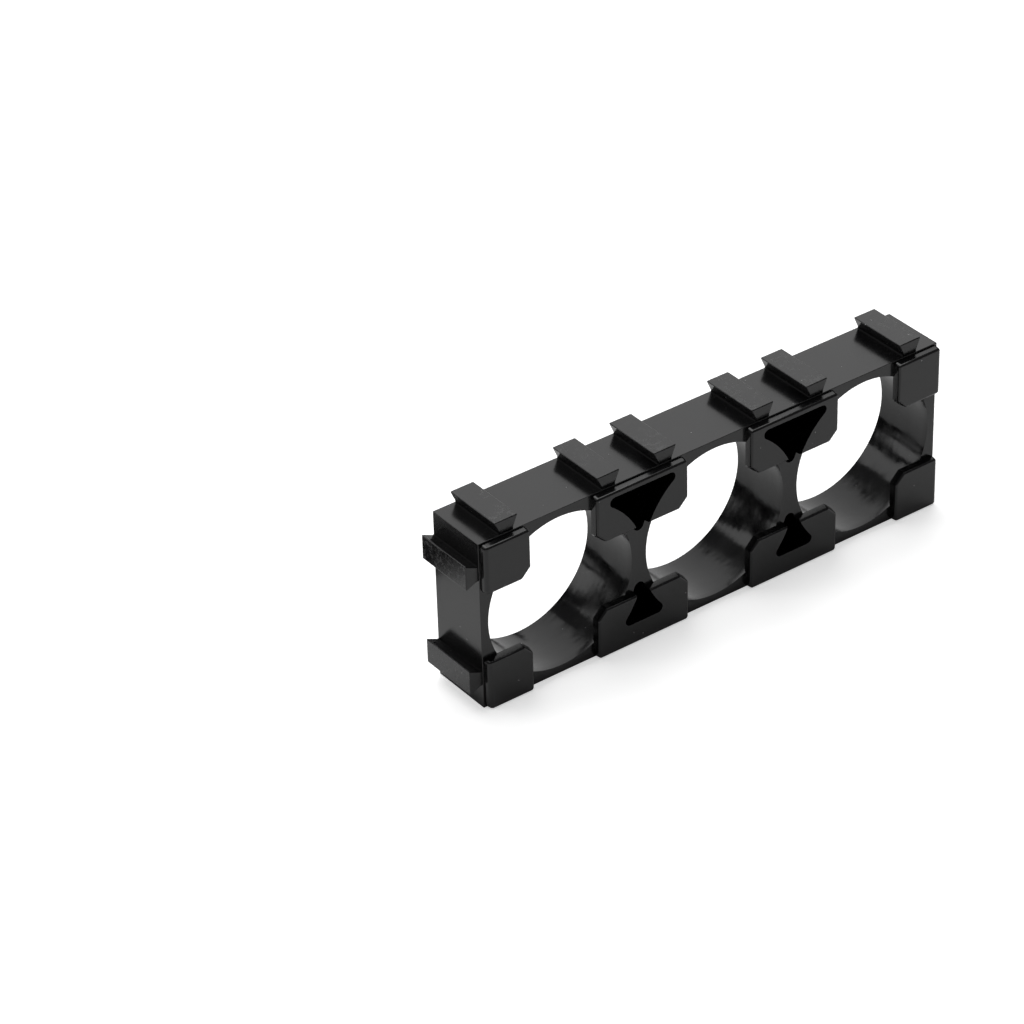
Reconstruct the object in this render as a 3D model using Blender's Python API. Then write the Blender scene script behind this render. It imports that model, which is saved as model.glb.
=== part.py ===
# Battery cell holder bracket: one moulded frame that holds a row of round cells side by side.
# The cells' bores run along Y. Tabs on the front (-Y) reach over the bores and stop the cells.
# Dovetail rails stand on the top and on the left end, and grooves that take the rails of the
# next bracket run in the bottom and in the right end.
# Units are metres, +Z is up, and the origin is the middle of the bottom face.

import math

import bmesh
import bpy

# The frame: a row of square cells
CELL_COUNT = 3
BORE_DIAMETER = 0.0182      # at the narrow end, just behind the mouth
BORE_DRAFT = 0.00022        # added to the radius at the back, so that the core pins draw
BORE_MOUTH_DEPTH = 0.0008   # the bores open out a little towards the front as well
BORE_MOUTH_FLARE = 0.00005  # added to the radius at the front
WEB_THICKNESS = 0.0020      # the wall between the narrow ends of two bores
BODY_DEPTH = 0.0077

# The tabs in front of the frame
TAB_PROUD = 0.0008          # in front of the frame
TAB_LAND = 0.0001           # behind the frame's front, where the cells stop
TAB_REACH = 0.0060          # from a cell's edge to the tab's inner edge
TAB_INSET = 0.0002          # step from the frame's outer faces down to the tabs' edges
TAB_CHAMFER = 0.0011        # corners that reach over a bore
TAB_CORNER_RADIUS = 0.0004  # the other corners

# The dovetail rails
RAIL_FROM_EDGE = 0.00365    # from a cell's edge to the middle of the rail
RAIL_HEIGHT = 0.0015
RAIL_TOP_WIDTH = 0.00295
RAIL_FOOT_WIDTH = 0.0018
RAIL_STEM = 0.0003          # straight stretch at the foot, below the flare
RAIL_FRONT_GAP = 0.00015    # the rails stop this far short of the frame's front
RAIL_ROOT = 0.0004          # how far the rails run into the frame, to join it

# The grooves: the rails' section with room around it
GROOVE_SIDE_CLEARANCE = 0.0002
GROOVE_DEPTH_CLEARANCE = 0.00005
GROOVE_LIP = 0.00025        # straight stretch at the mouth
GROOVE_ROOT_WALL = 0.0002   # straight stretch at the root

# The pockets that core out the frame between two bores
POCKET_BORE_WALL = 0.00107    # left around the narrow ends of the bores
POCKET_TOP_WALL = 0.0009      # left below the top
POCKET_GROOVE_WALL = 0.00105  # left above the roots of the bottom's grooves
POCKET_FLOOR = 0.0012
POCKET_TIP_RADIUS = 0.00065
POCKET_CORNER_RADIUS = 0.0006

# How far cutters run past the faces that they cut
OVERRUN = 0.001

# Facets
BORE_SEGMENTS = 96
POCKET_SIDE_SEGMENTS = 10
TIP_SEGMENTS = 10
CORNER_SEGMENTS = 5
SMOOTH_ANGLE = math.radians(30.0)

# Black moulded plastic with a satin sheen
PLASTIC_COLOUR = (0.012, 0.012, 0.013, 1.0)
PLASTIC_ROUGHNESS = 0.38

# Worked out from the sizes above
CELL_PITCH = BORE_DIAMETER + WEB_THICKNESS
BODY_LENGTH = CELL_COUNT * CELL_PITCH
BODY_HEIGHT = CELL_PITCH
LEFT_X = -BODY_LENGTH / 2
RIGHT_X = BODY_LENGTH / 2
FRONT_Y = -BODY_DEPTH / 2
BACK_Y = BODY_DEPTH / 2
TAB_FACE_Y = FRONT_Y - TAB_PROUD
CELL_STOP_Y = FRONT_Y + TAB_LAND
MIDDLE_Z = BODY_HEIGHT / 2
BORE_RADIUS = BORE_DIAMETER / 2
RAIL_OFFSET = CELL_PITCH / 2 - RAIL_FROM_EDGE
GROOVE_DEPTH = RAIL_HEIGHT + GROOVE_DEPTH_CLEARANCE


def cell_centres():
    return [LEFT_X + (cell + 0.5) * CELL_PITCH for cell in range(CELL_COUNT)]


def cell_edges():
    return [LEFT_X + edge * CELL_PITCH for edge in range(CELL_COUNT + 1)]


def arc(centre_x, centre_z, radius, start, end, segments):
    points = []
    for step in range(segments + 1):
        angle = start + (end - start) * step / segments
        points.append((centre_x + radius * math.cos(angle), centre_z + radius * math.sin(angle)))
    return points


def moulded_plastic():
    material = bpy.data.materials.new("black_plastic")
    material.use_nodes = True
    material.diffuse_color = PLASTIC_COLOUR
    shader = material.node_tree.nodes["Principled BSDF"]
    shader.inputs["Base Color"].default_value = PLASTIC_COLOUR
    shader.inputs["Roughness"].default_value = PLASTIC_ROUGHNESS
    shader.inputs["Metallic"].default_value = 0.0
    return material


def finish_piece(name, bm):
    # Round stretches are shaded smooth, and flat faces and ends stay flat.
    bmesh.ops.recalc_face_normals(bm, faces=bm.faces)
    for edge in bm.edges:
        if edge.calc_face_angle() < SMOOTH_ANGLE:
            for face in edge.link_faces:
                face.smooth = True
    mesh = bpy.data.meshes.new(name)
    bm.to_mesh(mesh)
    bm.free()
    piece = bpy.data.objects.new(name, mesh)
    bpy.context.scene.collection.objects.link(piece)
    return piece


def extrude_outlines(name, outlines, front_y, back_y):
    # Each outline is a list of (x, z) points, drawn at front_y and pulled back to back_y.
    bm = bmesh.new()
    for outline in outlines:
        drawn = bm.faces.new([bm.verts.new((x, front_y, z)) for x, z in outline])
        pulled = bmesh.ops.extrude_face_region(bm, geom=[drawn], use_keep_orig=True)
        moved = [item for item in pulled["geom"] if isinstance(item, bmesh.types.BMVert)]
        bmesh.ops.translate(bm, vec=(0.0, back_y - front_y, 0.0), verts=moved)
    return finish_piece(name, bm)


def loft_circles(name, centres, profile):
    # For each centre, a round plug whose sections follow the profile of (radius, y) pairs.
    bm = bmesh.new()
    for centre in centres:
        rings = []
        for radius, y in profile:
            circle = arc(centre, MIDDLE_Z, radius, 0.0, math.tau, BORE_SEGMENTS)[:-1]
            rings.append([bm.verts.new((x, y, z)) for x, z in circle])
        for near, far in zip(rings, rings[1:]):
            for step in range(BORE_SEGMENTS):
                after = (step + 1) % BORE_SEGMENTS
                bm.faces.new((near[step], near[after], far[after], far[step]))
        bm.faces.new(rings[0])
        bm.faces.new(rings[-1])
    return finish_piece(name, bm)


def combine(body, tool, operation):
    # The tool stays in the file as a wire guide, so its sizes can still be edited.
    tool.hide_render = True
    tool.display_type = 'WIRE'
    modifier = body.modifiers.new(tool.name, 'BOOLEAN')
    modifier.operation = operation
    modifier.solver = 'EXACT'
    modifier.object = tool


def rail_places():
    # Feet of the rails, as (x, z) and the direction in which the rail stands.
    places = []
    for offset in (-RAIL_OFFSET, RAIL_OFFSET):
        places.append((LEFT_X, MIDDLE_Z + offset, (-1, 0)))
        for centre in cell_centres():
            places.append((centre + offset, BODY_HEIGHT, (0, 1)))
    return places


def groove_places():
    # Mouths of the grooves: where the rails of the next bracket's frame would enter this one.
    places = []
    for x, z, outward in rail_places():
        places.append((x - outward[0] * BODY_LENGTH, z - outward[1] * BODY_HEIGHT, outward))
    return places


def stand(profile, place):
    # Turns a profile of (across, up) points so that up is the direction that the place names.
    x, z, (up_x, up_z) = place
    return [(x + across * up_z + up * up_x, z - across * up_x + up * up_z) for across, up in profile]


def mirrored(half_profile):
    # half_profile runs from the foot to the top on one side of the middle.
    return half_profile + [(-across, up) for across, up in reversed(half_profile)]


def rail_profile():
    return mirrored([
        (RAIL_FOOT_WIDTH / 2, -RAIL_ROOT),
        (RAIL_FOOT_WIDTH / 2, RAIL_STEM),
        (RAIL_TOP_WIDTH / 2, RAIL_HEIGHT),
    ])


def groove_profile():
    mouth = RAIL_FOOT_WIDTH / 2 + GROOVE_SIDE_CLEARANCE
    root = RAIL_TOP_WIDTH / 2 + GROOVE_SIDE_CLEARANCE
    return mirrored([
        (mouth, -OVERRUN),
        (mouth, GROOVE_LIP),
        (root, GROOVE_DEPTH - GROOVE_ROOT_WALL),
        (root, GROOVE_DEPTH),
    ])


def frame_block():
    outline = [(LEFT_X, 0.0), (RIGHT_X, 0.0), (RIGHT_X, BODY_HEIGHT), (LEFT_X, BODY_HEIGHT)]
    return extrude_outlines("cell_bracket", [outline], FRONT_Y, BACK_Y)


def rails():
    outlines = [stand(rail_profile(), place) for place in rail_places()]
    return extrude_outlines("rails", outlines, FRONT_Y + RAIL_FRONT_GAP, BACK_Y)


def groove_cutters():
    outlines = [stand(groove_profile(), place) for place in groove_places()]
    return extrude_outlines("groove_cutters", outlines, FRONT_Y - OVERRUN, BACK_Y + OVERRUN)


def bore_cutters():
    # A turned profile, as (radius, y) from the front end of the cutter to its back end.
    mouth_radius = BORE_RADIUS + BORE_MOUTH_FLARE
    profile = (
        (mouth_radius, FRONT_Y - OVERRUN),
        (mouth_radius, FRONT_Y),
        (BORE_RADIUS, FRONT_Y + BORE_MOUTH_DEPTH),
        (BORE_RADIUS + BORE_DRAFT, BACK_Y),
        (BORE_RADIUS + BORE_DRAFT, BACK_Y + OVERRUN),
    )
    return loft_circles("bore_cutters", cell_centres(), profile)


def over_a_bore(x, z):
    return any(math.hypot(x - centre, z - MIDDLE_Z) < BORE_RADIUS for centre in cell_centres())


def tab_outline(low_x, high_x, low_z, high_z):
    outline = []
    corners = ((high_x, high_z), (low_x, high_z), (low_x, low_z), (high_x, low_z))
    for quarter, (x, z) in enumerate(corners):
        size = TAB_CORNER_RADIUS
        segments = CORNER_SEGMENTS
        if over_a_bore(x, z):
            # An arc drawn as one straight segment is a chamfer.
            size = TAB_CHAMFER
            segments = 1
        inward_x = 1 if x == low_x else -1
        inward_z = 1 if z == low_z else -1
        start = quarter * math.tau / 4
        end = start + math.tau / 4
        outline += arc(x + inward_x * size, z + inward_z * size, size, start, end, segments)
    return outline


def tabs():
    outlines = []
    for edge in cell_edges():
        low_x = max(edge - TAB_REACH, LEFT_X + TAB_INSET)
        high_x = min(edge + TAB_REACH, RIGHT_X - TAB_INSET)
        outlines.append(tab_outline(low_x, high_x, TAB_INSET, TAB_REACH))
        outlines.append(tab_outline(low_x, high_x, BODY_HEIGHT - TAB_REACH, BODY_HEIGHT - TAB_INSET))
    return extrude_outlines("tabs", outlines, TAB_FACE_Y, CELL_STOP_Y)


def pocket_half(outer_wall):
    # Right half of a pocket, as (across, out) from the point midway between two bores: from the
    # tip, along a side that follows the bore, round the corner to the pocket's outer edge.
    bore_across = CELL_PITCH / 2
    side_radius = BORE_RADIUS + POCKET_BORE_WALL
    tip_reach = side_radius + POCKET_TIP_RADIUS
    tip_out = math.sqrt(tip_reach ** 2 - bore_across ** 2)
    corner_reach = side_radius + POCKET_CORNER_RADIUS
    corner_out = BODY_HEIGHT / 2 - outer_wall - POCKET_CORNER_RADIUS
    corner_across = bore_across - math.sqrt(corner_reach ** 2 - corner_out ** 2)
    side_start = math.atan2(tip_out, -bore_across)
    side_end = math.atan2(corner_out, corner_across - bore_across)
    tip = arc(0.0, tip_out, POCKET_TIP_RADIUS, -math.pi / 2, side_start - math.pi, TIP_SEGMENTS)
    side = arc(bore_across, 0.0, side_radius, side_start, side_end, POCKET_SIDE_SEGMENTS)
    corner = arc(corner_across, corner_out, POCKET_CORNER_RADIUS,
                 side_end - math.pi, math.pi / 2, CORNER_SEGMENTS)
    return tip + side[1:-1] + corner


def pocket_cutters():
    outlines = []
    for edge in cell_edges()[1:-1]:
        for outer_wall, up in ((POCKET_TOP_WALL, 1), (GROOVE_DEPTH + POCKET_GROOVE_WALL, -1)):
            half = pocket_half(outer_wall)
            whole = half + [(-across, out) for across, out in reversed(half[1:])]
            outlines.append([(edge + across, MIDDLE_Z + up * out) for across, out in whole])
    return extrude_outlines("pocket_cutters", outlines, TAB_FACE_Y - OVERRUN, BACK_Y - POCKET_FLOOR)


def build_bracket():
    for old in list(bpy.data.objects):
        bpy.data.objects.remove(old, do_unlink=True)
    bracket = frame_block()
    bracket.data.materials.append(moulded_plastic())
    combine(bracket, rails(), 'UNION')
    combine(bracket, groove_cutters(), 'DIFFERENCE')
    combine(bracket, bore_cutters(), 'DIFFERENCE')
    combine(bracket, tabs(), 'UNION')
    combine(bracket, pocket_cutters(), 'DIFFERENCE')


build_bracket()
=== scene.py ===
# Studio picture of a battery cell holder bracket, one black ABS moulding on a pale table.
# Metres, +Z up. The bracket is modelled round the box of the frame's own node.

import math

import bmesh
import bpy
from mathutils import Euler, Matrix, Vector


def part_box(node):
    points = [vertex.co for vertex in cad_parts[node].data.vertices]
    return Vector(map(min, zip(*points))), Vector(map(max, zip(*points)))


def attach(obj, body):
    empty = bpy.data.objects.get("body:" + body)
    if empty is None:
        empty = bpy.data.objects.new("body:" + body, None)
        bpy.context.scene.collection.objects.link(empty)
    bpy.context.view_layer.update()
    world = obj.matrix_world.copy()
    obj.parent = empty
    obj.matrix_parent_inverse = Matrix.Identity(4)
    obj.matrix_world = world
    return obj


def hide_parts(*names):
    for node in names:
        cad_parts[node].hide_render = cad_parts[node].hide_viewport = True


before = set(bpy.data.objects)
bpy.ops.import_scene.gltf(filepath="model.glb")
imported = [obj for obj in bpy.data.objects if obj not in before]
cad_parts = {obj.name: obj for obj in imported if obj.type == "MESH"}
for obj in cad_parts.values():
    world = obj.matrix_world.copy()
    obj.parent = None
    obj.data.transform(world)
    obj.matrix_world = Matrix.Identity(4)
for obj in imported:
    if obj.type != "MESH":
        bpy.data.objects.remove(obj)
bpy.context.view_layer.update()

mm = 0.001
nodeLow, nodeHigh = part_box("cell_bracket")


# Small helpers for working in the viewport's way

def clearSelection():
    if bpy.context.mode != 'OBJECT':
        bpy.ops.object.mode_set(mode='OBJECT')
    bpy.ops.object.select_all(action='DESELECT')


def pick(piece):
    clearSelection()
    piece.select_set(True)
    bpy.context.view_layer.objects.active = piece


def startEditing(piece, selectMode):
    pick(piece)
    bpy.ops.object.mode_set(mode='EDIT')
    bpy.ops.mesh.select_mode(type=selectMode)
    bpy.ops.mesh.select_all(action='DESELECT')


def selectFaces(piece, wanted):
    bpy.ops.mesh.select_all(action='DESELECT')
    mesh = bmesh.from_edit_mesh(piece.data)
    for face in mesh.faces:
        face.select_set(wanted(face.calc_center_median(), face.normal))
    bmesh.update_edit_mesh(piece.data)


def selectEdges(piece, wanted):
    # wanted gets an edge's middle, its direction and the angle between its faces
    bpy.ops.mesh.select_all(action='DESELECT')
    mesh = bmesh.from_edit_mesh(piece.data)
    for edge in mesh.edges:
        start, end = (vert.co for vert in edge.verts)
        along = (end - start).normalized()
        edge.select_set(wanted((start + end) / 2, along, edge.calc_face_angle(0)))
    bmesh.update_edit_mesh(piece.data)


def selectVerts(piece, wanted):
    bpy.ops.mesh.select_all(action='DESELECT')
    mesh = bmesh.from_edit_mesh(piece.data)
    for vert in mesh.verts:
        vert.select_set(wanted(vert.co))
    bmesh.update_edit_mesh(piece.data)


def bevelSelected(radius, steps):
    bpy.ops.mesh.bevel(offset=radius, segments=steps, affect='EDGES')


def finishEditing():
    bpy.ops.object.mode_set(mode='OBJECT')


def applyPlace(piece):
    pick(piece)
    bpy.ops.object.transform_apply(location=True, rotation=True, scale=True)


def addBox(name, low, high):
    middle = [(a + b) / 2 for a, b in zip(low, high)]
    size = [b - a for a, b in zip(low, high)]
    clearSelection()
    bpy.ops.mesh.primitive_cube_add(size=1, location=middle, scale=size)
    box = bpy.context.object
    box.name = name
    applyPlace(box)
    return box


def copyOf(piece, move=(0, 0, 0), turn=0.0, flipX=False, flipZ=False):
    # A copy with its own mesh: flipped, then turned about Y, then moved.
    pick(piece)
    bpy.ops.object.duplicate(linked=False)
    copy = bpy.context.object
    flip = Matrix.Diagonal((-1 if flipX else 1, 1, -1 if flipZ else 1, 1))
    copy.matrix_world = Matrix.Translation(move) @ Matrix.Rotation(turn, 4, 'Y') @ flip
    applyPlace(copy)
    if flipX != flipZ:
        startEditing(copy, 'FACE')
        bpy.ops.mesh.select_all(action='SELECT')
        bpy.ops.mesh.normals_make_consistent(inside=False)
        finishEditing()
    return copy


def joinAll(name, pieces, material, models):
    # Joins the copies and deletes the models that they were copied from
    clearSelection()
    for piece in pieces:
        piece.select_set(True)
    bpy.context.view_layer.objects.active = pieces[0]
    bpy.ops.object.join()
    joined = bpy.context.object
    joined.name = name
    joined.data.materials.append(material)
    for model in models:
        bpy.data.objects.remove(model, do_unlink=True)
    return joined


def combine(body, tool, operation):
    # The tool's material comes along on the faces that it makes.
    pick(body)
    bool3d = body.modifiers.new(tool.name, 'BOOLEAN')
    bool3d.operation = operation
    bool3d.solver = 'EXACT'
    bool3d.material_mode = 'TRANSFER'
    bool3d.object = tool
    bpy.ops.object.modifier_apply(modifier=bool3d.name)
    bpy.data.objects.remove(tool, do_unlink=True)


# Materials

def linear(hexColour):
    # An sRGB colour as Blender's linear one
    channels = [int(hexColour[i:i + 2], 16) / 255 for i in (1, 3, 5)]
    return [c / 12.92 if c <= 0.04045 else ((c + 0.055) / 1.055) ** 2.4 for c in channels] + [1.0]


def newMaterial(name):
    material = bpy.data.materials.new(name)
    material.use_nodes = True
    return material, material.node_tree.nodes["Principled BSDF"]


def addNode(material, kind, settings=None, inputs=None):
    # inputs: socket name or number -> a value, or an output socket to link from
    tree = material.node_tree
    node = tree.nodes.new("ShaderNode" + kind)
    for name, value in (settings or {}).items():
        setattr(node, name, value)
    for name, value in (inputs or {}).items():
        if isinstance(value, bpy.types.NodeSocket):
            tree.links.new(value, node.inputs[name])
        else:
            node.inputs[name].default_value = value
    return node


def perMm(size):
    # Texture scale for a pattern whose features are size mm across
    return 1 / (size * mm)


patchLook = {
    'detail': 3.0,
    'unevenness': 0.6,
    'smoothAt': 0.35,       # levels of the pattern at which it is smoothest and roughest
    'roughAt': 0.7,
}


def addGloss(material, place, look):
    # Patches, and a roughness that is higher in them
    patches = addNode(material, "TexNoise", None, {
        "Vector": place, "Scale": perMm(look['patch']), "Detail": patchLook['detail'],
        "Roughness": patchLook['unevenness']})
    gloss = addNode(material, "MapRange", None, {
        0: patches.outputs["Fac"], 1: patchLook['smoothAt'], 2: patchLook['roughAt'],
        3: look['roughness'], 4: look['roughness'] + look['roughSpread']})
    return patches.outputs["Fac"], gloss.outputs[0]


def addSpecks(material, place, look):
    # Dust and nicks: a dot in the middle of some of a pattern's cells
    cells = addNode(material, "TexVoronoi", {'feature': 'F1'}, {
        "Vector": place, "Scale": perMm(look['speck']), "Randomness": 1.0})
    chosen = addNode(material, "Math", {'operation': 'GREATER_THAN'}, {
        0: cells.outputs["Color"], 1: look['cleanShare']})
    inside = addNode(material, "Math", {'operation': 'LESS_THAN'}, {
        0: cells.outputs["Distance"], 1: look['speckSize']})
    specks = addNode(material, "Math", {'operation': 'MULTIPLY'}, {
        0: chosen.outputs[0], 1: inside.outputs[0]})
    return specks.outputs[0]


def addWaves(material, place, look):
    # The walls pulled in unevenly as they cooled
    waves = addNode(material, "TexNoise", None, {
        "Vector": place, "Scale": perMm(look['wave']), "Detail": look['waveDetail'],
        "Roughness": look['waveUnevenness']})
    bump = addNode(material, "Bump", None, {
        "Height": waves.outputs["Fac"], "Distance": look['waveHeight'] * mm, "Strength": 1.0})
    return bump.outputs[0]


mouldedLook = {
    'colour': '#040405',
    'scuffColour': '#7c7c7c',
    'ior': 1.48,
    'roughness': 0.17,
    'roughSpread': 0.07,    # added where the mould was polished less
    'patch': 4.0,           # mm across
    'wave': 5.0,            # mm, sink and flow marks
    'waveHeight': 0.006,    # mm
    'waveDetail': 1.0,
    'waveUnevenness': 0.4,
    'grain': 0.16,          # mm; finer in truth, this coarse so that it shows
    'grainHeight': 0.0018,  # mm
    'grainDetail': 2.0,
    'grainUnevenness': 0.5,
    'speck': 1.1,           # mm between places where a speck may be
    'speckSize': 0.07,      # share of that distance
    'cleanShare': 0.72,     # share of those places that have none
    'rub': 0.5,             # mm across, marks left on the rails by being pushed together
    'rubColour': '#454546',
    'rubDetail': 4.0,
    'rubUnevenness': 0.7,
    'rubFrom': 0.5,         # levels of the marks' pattern from which they show, and are full
    'rubFullAt': 0.8,
    'rubDepth': 0.05,       # mm below the rails' outer faces, where the marks end
    'leastRub': 0.15,       # share of the marks on the least rubbed rails of the top
    'leastRubAt': 0.45,     # levels of the patches' pattern for the least and the most of them
    'mostRubAt': 0.6,
    'dulling': 0.3,         # added to the roughness by specks and marks
}


def addRub(material, place, patches):
    # Marks on the outer faces of the left rails, and in patches on those of the top rails
    look = mouldedLook
    axes = addNode(material, "SeparateXYZ", None, {0: place})
    depth = look['rubDepth'] * mm
    onLeft = addNode(material, "Math", {'operation': 'LESS_THAN'}, {
        0: axes.outputs["X"], 1: nodeLow.x + depth})
    onTop = addNode(material, "Math", {'operation': 'GREATER_THAN'}, {
        0: axes.outputs["Z"], 1: nodeHigh.z - depth})
    someTops = addNode(material, "MapRange", None, {
        0: patches, 1: look['leastRubAt'], 2: look['mostRubAt'], 3: look['leastRub'], 4: 1.0})
    onRails = addNode(material, "Math", {'operation': 'MULTIPLY_ADD'}, {
        0: onTop.outputs[0], 1: someTops.outputs[0], 2: onLeft.outputs[0]})
    noise = addNode(material, "TexNoise", None, {
        "Vector": place, "Scale": perMm(look['rub']), "Detail": look['rubDetail'],
        "Roughness": look['rubUnevenness']})
    marks = addNode(material, "MapRange", None, {
        0: noise.outputs["Fac"], 1: look['rubFrom'], 2: look['rubFullAt']})
    rub = addNode(material, "Math", {'operation': 'MULTIPLY'}, {
        0: onRails.outputs[0], 1: marks.outputs[0]})
    return rub.outputs[0]


def mouldedAbs():
    # Black ABS from a polished mould: satin, faintly wavy, with dust, nicks and rubbed rails
    look = mouldedLook
    material, shader = newMaterial("moulded_abs")
    shader.inputs["IOR"].default_value = look['ior']
    place = addNode(material, "TexCoord").outputs["Object"]
    patches, gloss = addGloss(material, place, look)
    specks = addSpecks(material, place, look)
    rub = addRub(material, place, patches)
    worn = addNode(material, "Mix", {'data_type': 'RGBA'}, {
        "Factor": rub, 6: linear(look['colour']), 7: linear(look['rubColour'])})
    tone = addNode(material, "Mix", {'data_type': 'RGBA'}, {
        "Factor": specks, 6: worn.outputs[2], 7: linear(look['scuffColour'])})
    dulled = addNode(material, "Math", {'operation': 'ADD'}, {0: specks, 1: rub})
    duller = addNode(material, "Math", {'operation': 'MULTIPLY_ADD'}, {
        0: dulled.outputs[0], 1: look['dulling'], 2: gloss})
    grains = addNode(material, "TexNoise", None, {
        "Vector": place, "Scale": perMm(look['grain']), "Detail": look['grainDetail'],
        "Roughness": look['grainUnevenness']})
    bump = addNode(material, "Bump", None, {
        "Height": grains.outputs["Fac"], "Distance": look['grainHeight'] * mm, "Strength": 1.0,
        "Normal": addWaves(material, place, look)})
    links = material.node_tree.links
    links.new(tone.outputs[2], shader.inputs["Base Color"])
    links.new(duller.outputs[0], shader.inputs["Roughness"])
    links.new(bump.outputs[0], shader.inputs["Normal"])
    return material


boreLook = {
    'colour': '#040405',
    'scuffColour': '#6a6a6a',
    'ior': 1.42,
    'roughness': 0.1,
    'roughSpread': 0.1,
    'patch': 2.5,           # mm across
    'wave': 4.5,            # mm
    'waveHeight': 0.1,      # mm
    'waveDetail': 3.0,
    'waveUnevenness': 0.36,
    'ring': 0.754,          # mm between turning marks; finer in truth, this coarse to show
    'ringHeight': 0.0007,   # mm
    'ringWander': 0.6,      # how unevenly the marks lie
    'ringDetail': 2.0,
    'ringDetailScale': 0.4,
    'speck': 0.8,           # mm between places where a speck may be
    'speckSize': 0.06,      # share of that distance
    'cleanShare': 0.7,      # share of those places that have none
}


def turnedBoreAbs():
    # The same ABS against turned core pins: glossier, with faint rings and a wavy wall
    look = boreLook
    material, shader = newMaterial("bore_abs")
    shader.inputs["IOR"].default_value = look['ior']
    place = addNode(material, "TexCoord").outputs["Object"]
    patches, gloss = addGloss(material, place, look)
    specks = addSpecks(material, place, look)
    tone = addNode(material, "Mix", {'data_type': 'RGBA'}, {
        "Factor": specks, 6: linear(look['colour']), 7: linear(look['scuffColour'])})
    bandsAtScaleOne = 20 / (2 * math.pi)    # the node's own count of bands in a metre
    rings = addNode(material, "TexWave", {'wave_type': 'BANDS', 'bands_direction': 'Y'}, {
        "Vector": place, "Scale": perMm(look['ring']) / bandsAtScaleOne,
        "Distortion": look['ringWander'], "Detail": look['ringDetail'],
        "Detail Scale": look['ringDetailScale']})
    bump = addNode(material, "Bump", None, {
        "Height": rings.outputs["Fac"], "Distance": look['ringHeight'] * mm, "Strength": 1.0,
        "Normal": addWaves(material, place, look)})
    links = material.node_tree.links
    links.new(tone.outputs[2], shader.inputs["Base Color"])
    links.new(gloss, shader.inputs["Roughness"])
    links.new(bump.outputs[0], shader.inputs["Normal"])
    return material


frameAbs = mouldedAbs()
boreAbs = turnedBoreAbs()
print("materials made")


# The frame: a row of square cells, with a dovetail rail's height of room on top and on the left

frameSizes = {
    'cells': 3,
    'railHeight': 1.5 * mm,
    'tabProud': 0.8 * mm,
    'edgeRadius': 0.06 * mm,
    'edgeSteps': 3,
}

leftX = nodeLow.x + frameSizes['railHeight']
rightX = nodeHigh.x
topZ = nodeHigh.z - frameSizes['railHeight']
frontY = nodeLow.y + frameSizes['tabProud']
backY = nodeHigh.y
pitch = (rightX - leftX) / frameSizes['cells']
middleZ = topZ / 2
cellCentres = [leftX + (cell + 0.5) * pitch for cell in range(frameSizes['cells'])]
cellEdges = [leftX + edge * pitch for edge in range(frameSizes['cells'] + 1)]
overrun = 1 * mm      # how far cutters run past the faces that they cut
hair = 0.001 * mm     # nothing on the bracket is smaller
seam = hair / 10      # points closer than this are one
flushGap = 0.01 * mm  # keeps two faces from lying in one plane
mostly = 0.9          # share of a direction along an axis that counts as all of it
cornerAngle = math.radians(40)      # faces that meet at more than this make a corner


def addFrameBlock():
    block = addBox("bracket_moulding", (leftX, frontY, 0), (rightX, backY, topZ))
    block.data.materials.append(frameAbs)
    return block


# Dovetail rails: six on the top and two on the left end

railSizes = {
    'fromCellEdge': 3.65 * mm,
    'topWidth': 2.95 * mm,
    'footWidth': 1.8 * mm,
    'stem': 0.2 * mm,
    'frontGap': 0.15 * mm,
    'root': 0.4 * mm,       # how far the rail runs into the frame
    'edgeRadius': 0.13 * mm,
    'edgeSteps': 4,
}
railOffset = pitch / 2 - railSizes['fromCellEdge']


def addDovetail(name, footWidth, topWidth, root, stem, height, front, back):
    # Stands on z = 0 with its middle on x = 0: a straight stem, then the flare
    rail = addBox(name, (-footWidth / 2, front, -root), (footWidth / 2, back, stem))
    startEditing(rail, 'FACE')
    selectFaces(rail, lambda middle, normal: normal.z > mostly)
    bpy.ops.mesh.extrude_region_move(TRANSFORM_OT_translate={"value": (0, 0, height - stem)})
    bpy.ops.transform.resize(value=(topWidth / footWidth, 1, 1), center_override=(0, 0, height))
    finishEditing()
    return rail


def addRails():
    root, stem = railSizes['root'], railSizes['stem']
    rail = addDovetail("rail", railSizes['footWidth'], railSizes['topWidth'], root, stem,
                       frameSizes['railHeight'], frontY + railSizes['frontGap'], backY - flushGap)
    startEditing(rail, 'EDGE')
    selectEdges(rail, lambda middle, along, bend: (
        middle.z > hair - root and abs(middle.z - stem) > hair))
    bevelSelected(railSizes['edgeRadius'], railSizes['edgeSteps'])
    finishEditing()
    rails = []
    for side in (-railOffset, railOffset):
        rails.append(copyOf(rail, move=(leftX, 0, middleZ + side), turn=-math.pi / 2))
        for centre in cellCentres:
            rails.append(copyOf(rail, move=(centre + side, 0, topZ)))
    return joinAll("rails", rails, frameAbs, [rail])


# Grooves that take the next bracket's rails: six in the bottom and two in the right end

grooveSizes = {
    'sideRoom': 0.2 * mm,
    'depthRoom': 0.05 * mm,
    'lip': 0.25 * mm,       # straight stretch at the mouth
    'rootWall': 0.2 * mm,   # straight stretch at the root
}
grooveDepth = frameSizes['railHeight'] + grooveSizes['depthRoom']


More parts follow.
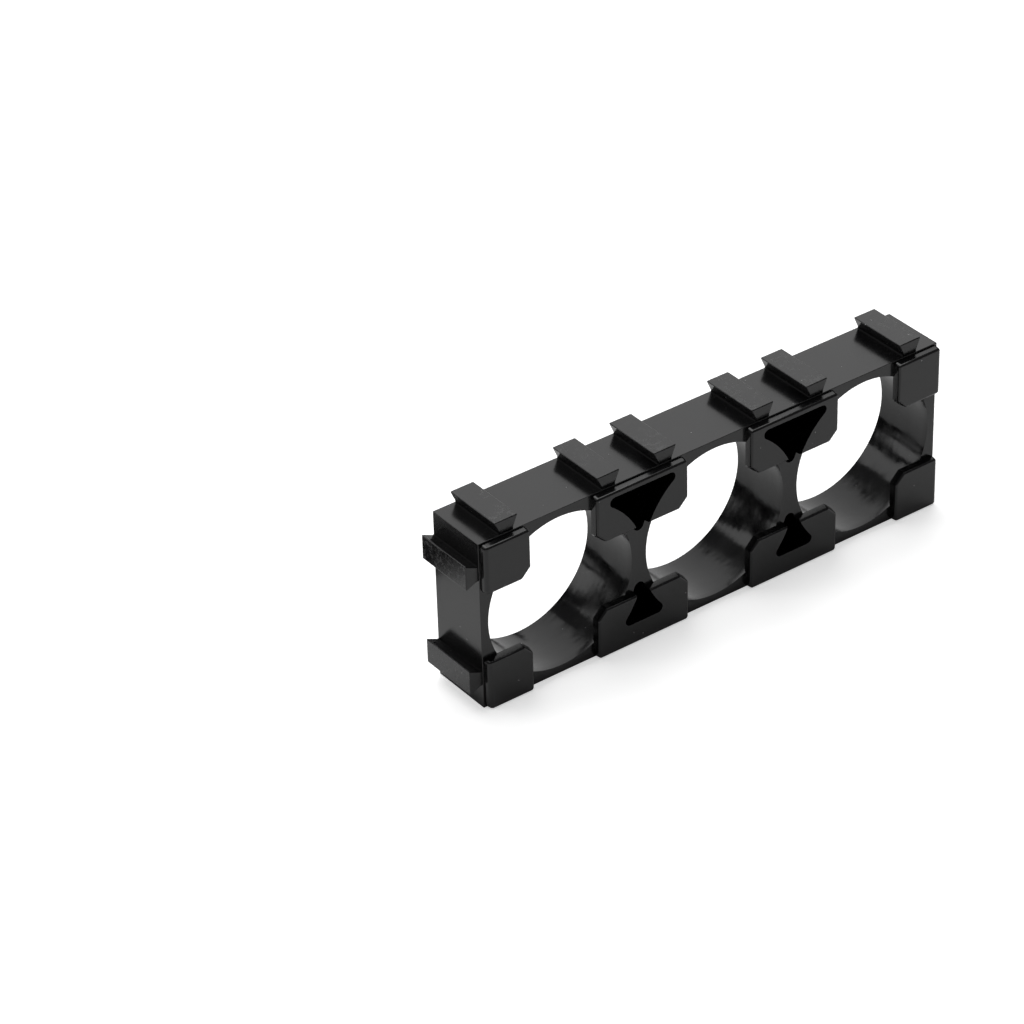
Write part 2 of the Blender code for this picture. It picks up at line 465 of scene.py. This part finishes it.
def addGrooveCutters():
    mouth = railSizes['footWidth'] + 2 * grooveSizes['sideRoom']
    root = railSizes['topWidth'] + 2 * grooveSizes['sideRoom']
    cutter = addDovetail("groove_cutter", mouth, root, overrun, grooveSizes['lip'],
                         grooveDepth - grooveSizes['rootWall'], frontY - overrun, backY + overrun)
    startEditing(cutter, 'FACE')
    selectFaces(cutter, lambda middle, normal: normal.z > mostly)
    bpy.ops.mesh.extrude_region_move(
        TRANSFORM_OT_translate={"value": (0, 0, grooveSizes['rootWall'])})
    finishEditing()
    cutters = []
    for side in (-railOffset, railOffset):
        cutters.append(copyOf(cutter, move=(rightX, 0, middleZ + side), turn=-math.pi / 2))
        for centre in cellCentres:
            cutters.append(copyOf(cutter, move=(centre + side, 0, 0)))
    return joinAll("groove_cutters", cutters, frameAbs, [cutter])


def roundAllEdges(piece):
    pick(piece)
    rounding = piece.modifiers.new("edges", 'BEVEL')
    rounding.width = frameSizes['edgeRadius']
    rounding.segments = frameSizes['edgeSteps']
    rounding.limit_method = 'ANGLE'
    rounding.angle_limit = cornerAngle
    bpy.ops.object.modifier_apply(modifier=rounding.name)


# Bores for the cells: drafted towards the back, with a slight flare and a round rim in front

boreSizes = {
    'diameter': 18.2 * mm,      # at the narrow end, behind the mouth
    'draft': 0.22 * mm,         # added to the radius at the back
    'mouthDepth': 0.8 * mm,
    'mouthFlare': 0.035 * mm,   # added to the radius at the front
    'mouthStep': 0.03 * mm,     # most of it, where the mould's halves meet
    'rim': 0.035 * mm,
    'rimSteps': 3,
    'sides': 144,
}
boreRadius = boreSizes['diameter'] / 2
mouthY = frontY + boreSizes['mouthDepth']


def boreProfile():
    # (radius, y) from the front of the cutter to its back
    rim = boreSizes['rim']
    front = boreRadius + boreSizes['mouthFlare']
    back = boreRadius + boreSizes['draft']
    steps = boreSizes['rimSteps']
    quarter = [math.pi / 2 * step / steps for step in range(steps + 1)]
    profile = [(front + rim, frontY - overrun)]
    profile += [(front + rim - rim * math.sin(turn), frontY + rim - rim * math.cos(turn))
                for turn in quarter]
    profile.append((boreRadius + boreSizes['mouthStep'], mouthY - boreSizes['mouthStep'] / 2))
    profile.append((boreRadius, mouthY))
    profile += [(back + rim - rim * math.cos(turn), backY - rim + rim * math.sin(turn))
                for turn in quarter]
    profile.append((back + rim, backY + overrun))
    return profile


def addBoreCutters():
    profile = boreProfile()
    firstY, lastY = profile[0][1], profile[-1][1]
    clearSelection()
    bpy.ops.mesh.primitive_cylinder_add(vertices=boreSizes['sides'], radius=boreRadius,
                                        depth=lastY - firstY, rotation=(math.pi / 2, 0, 0),
                                        location=(0, (firstY + lastY) / 2, middleZ))
    plug = bpy.context.object
    applyPlace(plug)
    startEditing(plug, 'VERT')
    for radius, y in profile[1:-1]:
        bpy.ops.mesh.select_all(action='SELECT')
        bpy.ops.mesh.bisect(plane_co=(0, y, 0), plane_no=(0, 1, 0))
    for radius, y in profile:
        selectVerts(plug, lambda place: abs(place.y - y) < hair)
        grown = radius / boreRadius
        bpy.ops.transform.resize(value=(grown, 1, grown), center_override=(0, y, middleZ))
    finishEditing()
    cutters = [copyOf(plug, move=(centre, 0, 0)) for centre in cellCentres]
    return joinAll("bore_cutters", cutters, boreAbs, [plug])


# Stop tabs on the front: chamfered corners reach over the bores

tabSizes = {
    'land': 0.1 * mm,          # behind the frame's front, where the cells stop
    'reach': 6.0 * mm,         # from a cell's edge to the tab's inner edge
    'railInset': 0.2 * mm,     # step down from the frame's faces that carry rails
    'grooveInset': 0.02 * mm,  # the same on the faces with grooves
    'draft': 0.12 * mm,        # each side leans in by this, as far as its inset lets it
    'chamfer': 1.1 * mm,
    'outerRadius': 0.42 * mm,  # on the bracket's upright corners
    'levelShare': 0.57,        # of that, on the tabs' top and bottom edges
    'innerShare': 0.55,        # of that, on the edges over the bores
    'chamferShare': 0.35,      # of that, on the chamfers' corners
    'edgeSteps': 6,
    'splitAngle': math.radians(0.05),   # rounded faces bent by more than this are split
}


def addTab(name, leftReach, rightReach, inset, chamferLeft):
    # An upper tab, drawn round x = 0, with its chamfers at the lower corners. One without
    # the left chamfer ends on the left at the bracket's own end, -leftReach inside it.
    lowZ = topZ - tabSizes['reach']
    highZ = topZ - inset
    face = frontY - frameSizes['tabProud']
    tab = addBox(name, (-leftReach, face, lowZ), (rightReach, frontY + tabSizes['land'], highZ))
    draft = tabSizes['draft']
    leftDraft = draft if chamferLeft else min(draft, -leftReach)
    slack = draft + hair

    def onTop(place):
        return place.z > highZ - slack

    def onFoot(place):
        return place.z < lowZ + slack

    def onEnd(place):
        return not chamferLeft and place.x < -leftReach + slack

    def inFront(middle):
        return middle.y < face + hair

    def weigh(share, wanted):
        selectEdges(tab, wanted)
        bpy.ops.transform.edge_bevelweight(value=share)

    leans = (
        (onTop, (0, 0, -min(draft, inset))),
        (onFoot, (0, 0, draft)),
        (lambda place: place.x < -leftReach + hair, (leftDraft, 0, 0)),
        (lambda place: place.x > rightReach - hair, (-draft, 0, 0)),
    )
    startEditing(tab, 'VERT')
    for isThere, lean in leans:
        selectVerts(tab, lambda place: place.y < face + hair and isThere(place))
        bpy.ops.transform.translate(value=lean)
    bpy.ops.mesh.select_mode(type='EDGE')
    selectEdges(tab, lambda middle, along, bend: (
        abs(along.y) > mostly and onFoot(middle) and not onEnd(middle)))
    bevelSelected(tabSizes['chamfer'], 1)
    weigh(1, lambda middle, along, bend: (
        (abs(along.y) > mostly and (onTop(middle) or onEnd(middle)))
        or (inFront(middle) and onEnd(middle))))
    weigh(tabSizes['levelShare'], lambda middle, along, bend: inFront(middle) and onTop(middle))
    weigh(tabSizes['innerShare'], lambda middle, along, bend: (
        inFront(middle) and not onTop(middle) and not onEnd(middle)))
    weigh(tabSizes['chamferShare'], lambda middle, along, bend: (
        abs(along.y) > mostly and bend > cornerAngle and not onTop(middle) and not onEnd(middle)))
    finishEditing()
    rounding = tab.modifiers.new("edges", 'BEVEL')
    rounding.width = tabSizes['outerRadius']
    rounding.segments = tabSizes['edgeSteps']
    rounding.limit_method = 'WEIGHT'
    bpy.ops.object.modifier_apply(modifier=rounding.name)
    startEditing(tab, 'FACE')
    bpy.ops.mesh.select_all(action='SELECT')
    bpy.ops.mesh.vert_connect_nonplanar(angle_limit=tabSizes['splitAngle'])
    finishEditing()
    return tab


def addTabs():
    reach = tabSizes['reach']
    railInset, grooveInset = tabSizes['railInset'], tabSizes['grooveInset']
    models, tabs = [], []
    for lower, inset in ((False, railInset), (True, grooveInset)):
        height = topZ if lower else 0
        middleTab = addTab("middle_tab", reach, reach, inset, chamferLeft=True)
        leftTab = addTab("left_tab", -railInset, reach, inset, chamferLeft=False)
        rightTab = addTab("right_tab", -grooveInset, reach, inset, chamferLeft=False)
        for edge in cellEdges[1:-1]:
            tabs.append(copyOf(middleTab, move=(edge, 0, height), flipZ=lower))
        tabs.append(copyOf(leftTab, move=(leftX, 0, height), flipZ=lower))
        tabs.append(copyOf(rightTab, move=(rightX, 0, height), flipX=True, flipZ=lower))
        models += [middleTab, leftTab, rightTab]
    return joinAll("tabs", tabs, frameAbs, models)


# Pockets that core out the frame between two bores

pocketSizes = {
    'boreWall': 1.07 * mm,      # left around the narrow ends of the bores
    'topWall': 0.9 * mm,        # left below the top
    'grooveWall': 1.05 * mm,    # left above the roots of the bottom's grooves
    'floor': 1.2 * mm,
    'tipRadius': 0.65 * mm,
    'cornerRadius': 0.6 * mm,
    'sideSteps': 12,
    'tipSteps': 8,
    'cornerSteps': 8,
}


def sweep(steps, angle, x, z):
    # Carries the selected point on round (x, z), anticlockwise as seen from the front
    bpy.ops.mesh.spin(steps=steps, angle=angle, center=(x, 0, z), axis=(0, 1, 0))


def addPocketCutter(outerWall):
    # Half an outline, drawn as one point's way round three arcs; z = 0 is the bores' middle
    front = frontY - frameSizes['tabProud'] - overrun
    back = backY - pocketSizes['floor']
    sideRadius = boreRadius + pocketSizes['boreWall']
    tipZ = math.sqrt((sideRadius + pocketSizes['tipRadius']) ** 2 - (pitch / 2) ** 2)
    cornerZ = topZ / 2 - outerWall - pocketSizes['cornerRadius']
    cornerX = pitch / 2 - math.sqrt((sideRadius + pocketSizes['cornerRadius']) ** 2 - cornerZ ** 2)
    sideStart = math.atan2(tipZ, -pitch / 2)
    sideEnd = math.atan2(cornerZ, cornerX - pitch / 2)
    clearSelection()
    bpy.ops.mesh.primitive_plane_add(size=1 * mm, location=(0, 0, tipZ - pocketSizes['tipRadius']))
    cutter = bpy.context.object
    applyPlace(cutter)
    startEditing(cutter, 'VERT')
    bpy.ops.mesh.select_all(action='SELECT')
    bpy.ops.mesh.merge(type='CENTER')
    sweep(pocketSizes['tipSteps'], sideStart - math.pi / 2, 0, tipZ)
    sweep(pocketSizes['sideSteps'], sideEnd - sideStart, pitch / 2, 0)
    sweep(pocketSizes['cornerSteps'], math.pi * 3 / 2 - sideEnd, cornerX, cornerZ)
    bpy.ops.mesh.extrude_region_move(TRANSFORM_OT_translate={"value": (-cornerX, 0, 0)})
    finishEditing()
    half = cutter.modifiers.new("half", 'MIRROR')
    half.merge_threshold = hair
    bpy.ops.object.modifier_apply(modifier=half.name)
    startEditing(cutter, 'VERT')
    bpy.ops.mesh.select_all(action='SELECT')
    bpy.ops.mesh.edge_face_add()
    bpy.ops.transform.translate(value=(0, front, 0))
    bpy.ops.mesh.extrude_region_move(TRANSFORM_OT_translate={"value": (0, back - front, 0)})
    bpy.ops.mesh.select_all(action='SELECT')
    bpy.ops.mesh.normals_make_consistent(inside=False)
    finishEditing()
    return cutter


def addPocketCutters():
    upper = addPocketCutter(pocketSizes['topWall'])
    lower = addPocketCutter(pocketSizes['grooveWall'] + grooveDepth)
    cutters = []
    for edge in cellEdges[1:-1]:
        cutters.append(copyOf(upper, move=(edge, 0, middleZ)))
        cutters.append(copyOf(lower, move=(edge, 0, middleZ), flipZ=True))
    return joinAll("pocket_cutters", cutters, frameAbs, [upper, lower])


def splitHoledFaces(piece):
    # Cuts through the middle of every hole leave no face with a hole in it
    planes = [((x, 0, 0), (1, 0, 0)) for x in cellCentres + cellEdges[1:-1]]
    planes.append(((0, 0, middleZ), (0, 0, 1)))
    startEditing(piece, 'VERT')
    for point, normal in planes:
        bpy.ops.mesh.select_all(action='SELECT')
        bpy.ops.mesh.bisect(plane_co=point, plane_no=normal)
    bpy.ops.mesh.select_all(action='SELECT')
    bpy.ops.mesh.remove_doubles(threshold=seam)
    bpy.ops.mesh.normals_make_consistent(inside=False)
    finishEditing()


def shadeMoulding(piece):
    # Curves look smooth, flat faces stay flat and corners stay crisp
    pick(piece)
    bpy.ops.object.shade_smooth_by_angle(angle=cornerAngle)
    flats = piece.modifiers.new("flats", 'WEIGHTED_NORMAL')
    flats.keep_sharp = True
    bpy.ops.object.modifier_apply(modifier=flats.name)


# A black flag with three holes stands behind on the left and shows only in reflections

flagPlace = {
    'corner': (-58.7, 13.3, 0),     # mm, its left end at the front
    'turn': 15,                     # degrees
    'colour': '#0a0a0a',
    'roughness': 0.9,
}


def addFlag(model):
    # Black card: matt, so that it darkens what reflects it and adds no gloss of its own
    pick(model)
    bpy.ops.object.duplicate(linked=False)
    flag = bpy.context.object
    flag.name = "flag"
    flag.data.materials.clear()
    material, shader = newMaterial("black_card")
    shader.inputs["Base Color"].default_value = linear(flagPlace['colour'])
    shader.inputs["Roughness"].default_value = flagPlace['roughness']
    flag.data.materials.append(material)
    corner = Matrix.Translation(Vector(flagPlace['corner']) * mm)
    turned = Matrix.Rotation(math.radians(flagPlace['turn']), 4, 'Z')
    flag.matrix_world = corner @ turned @ Matrix.Translation((-leftX, -frontY, 0))
    applyPlace(flag)
    flag.visible_camera = False
    flag.visible_diffuse = False
    flag.visible_shadow = False
    flag.visible_transmission = False


bracket = addFrameBlock()
combine(bracket, addGrooveCutters(), 'DIFFERENCE')
roundAllEdges(bracket)
combine(bracket, addBoreCutters(), 'DIFFERENCE')
addFlag(bracket)
combine(bracket, addTabs(), 'UNION')
combine(bracket, addPocketCutters(), 'DIFFERENCE')
combine(bracket, addRails(), 'UNION')
splitHoledFaces(bracket)
shadeMoulding(bracket)
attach(bracket, "root")
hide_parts("cell_bracket")
print("bracket moulded:", len(bracket.data.polygons), "faces")


# The table, the world and the lamps

tableLook = {
    'side': 6.0,            # m
    'wallHeight': 0.6,      # m, a low white wall all round
    'colour': '#fafafa',
    'glowColour': '#ffffff',
    'glow': 0.54,           # white that the camera sees added, so that the table is white
    'farGlow': 0.9,         # the same from farFrom outwards, which the lamps reach less
    'nearTo': 0.3,          # m from the middle
    'farFrom': 1.0,         # m from the middle
    'reflectedGlow': 0.03,  # what the plastic reflects of it
    'roughness': 0.9,
}


def mattTable():
    # Matt white paint, brightened by its glow for the camera only
    material, shader = newMaterial("matt_table")
    shader.inputs["Base Color"].default_value = linear(tableLook['colour'])
    shader.inputs["Roughness"].default_value = tableLook['roughness']
    shader.inputs["Emission Color"].default_value = linear(tableLook['glowColour'])
    place = addNode(material, "TexCoord").outputs["Object"]
    away = addNode(material, "VectorMath", {'operation': 'LENGTH'}, {0: place})
    white = addNode(material, "MapRange", None, {
        0: away.outputs["Value"], 1: tableLook['nearTo'], 2: tableLook['farFrom'],
        3: tableLook['glow'], 4: tableLook['farGlow']})
    rays = addNode(material, "LightPath")
    bounced = addNode(material, "Math", {'operation': 'ADD', 'use_clamp': True}, {
        0: rays.outputs["Is Glossy Ray"], 1: rays.outputs["Is Transmission Ray"]})
    dimmer = addNode(material, "Math", {'operation': 'MULTIPLY'}, {
        0: bounced.outputs[0], 1: tableLook['reflectedGlow']})
    strength = addNode(material, "Math", {'operation': 'MULTIPLY_ADD'}, {
        0: rays.outputs["Is Camera Ray"], 1: white.outputs[0], 2: dimmer.outputs[0]})
    material.node_tree.links.new(strength.outputs[0], shader.inputs["Emission Strength"])
    return material


def addTable():
    # A white table whose edges turn up, so that low views end in white as well
    clearSelection()
    bpy.ops.mesh.primitive_plane_add(size=tableLook['side'], location=(0, 0, 0))
    table = bpy.context.object
    table.name = "table"
    table.data.materials.append(mattTable())
    startEditing(table, 'EDGE')
    bpy.ops.mesh.select_all(action='SELECT')
    bpy.ops.mesh.extrude_edges_move(
        TRANSFORM_OT_translate={"value": (0, 0, tableLook['wallHeight'])})
    finishEditing()


worldLook = {
    'colour': '#ffffff',
    'strength': 0.16,       # a dim room
}


def addWorld():
    world = bpy.data.worlds.new("studio")
    bpy.context.scene.world = world
    world.use_nodes = True
    background = world.node_tree.nodes["Background"]
    background.inputs["Color"].default_value = linear(worldLook['colour'])
    background.inputs["Strength"].default_value = worldLook['strength']


# azimuth 0 is straight behind the bracket and 90 on its right; degrees, m
softboxes = {
    'back_right': {'azimuth': 26, 'elevation': 28, 'distance': 1.2, 'width': 1.25, 'height': 1.05,
                   'radiance': 1.15},
    'back_left': {'azimuth': -49, 'elevation': 22, 'distance': 1.2, 'width': 0.6, 'height': 0.8,
                  'radiance': 1.6},
    'overhead': {'azimuth': 10, 'elevation': 74, 'distance': 1.2, 'width': 1.3, 'height': 0.8,
                 'radiance': 2.8},
}


def addSoftbox(name, azimuth, elevation, distance, width, height, radiance):
    # A lamp of this size and radiance, facing the bracket
    turn, rise = math.radians(azimuth), math.radians(elevation)
    away = Vector((
        math.sin(turn) * math.cos(rise), math.cos(turn) * math.cos(rise), math.sin(rise)))
    lamp = bpy.data.lights.new(name, 'AREA')
    lamp.shape = 'RECTANGLE'
    lamp.size = width
    lamp.size_y = height
    lamp.energy = radiance * math.pi * width * height
    softbox = bpy.data.objects.new(name, lamp)
    softbox.location = away * distance
    softbox.rotation_euler = away.to_track_quat('Z', 'Y').to_euler()
    softbox.visible_camera = False
    bpy.context.scene.collection.objects.link(softbox)


addTable()
addWorld()
for name, settings in softboxes.items():
    addSoftbox(name, **settings)
print("table and", len(softboxes), "softboxes placed")


# The camera, at the picture's angle

cameraSetup = {
    'azimuth': -35.641,     # degrees; 0 looks along +Y
    'elevation': 33.933,
    'roll': -1.837,
    'lens': 145.09,         # mm
    'sensor': 36,           # mm across
    'clipStart': 10,        # mm, nothing nearer is drawn
    'aim': (-16.626, 9.220, 11.488),    # mm
    'distance': 429.957,    # mm
}


def addCamera():
    camera = bpy.data.cameras.new("camera")
    camera.sensor_width = cameraSetup['sensor']
    camera.lens = cameraSetup['lens']
    camera.clip_start = cameraSetup['clipStart'] * mm
    holder = bpy.data.objects.new("camera", camera)
    bpy.context.scene.collection.objects.link(holder)
    tilt = math.radians(90 - cameraSetup['elevation'])
    turn = Euler((tilt, 0, math.radians(cameraSetup['azimuth']))).to_matrix().to_4x4()
    turn = turn @ Matrix.Rotation(math.radians(cameraSetup['roll']), 4, 'Z')
    back = turn @ Vector((0, 0, cameraSetup['distance'] * mm))
    holder.matrix_world = Matrix.Translation(Vector(cameraSetup['aim']) * mm + back) @ turn
    bpy.context.scene.camera = holder


addCamera()
print("camera placed")
bpy.context.scene.view_settings.view_transform = 'Standard'
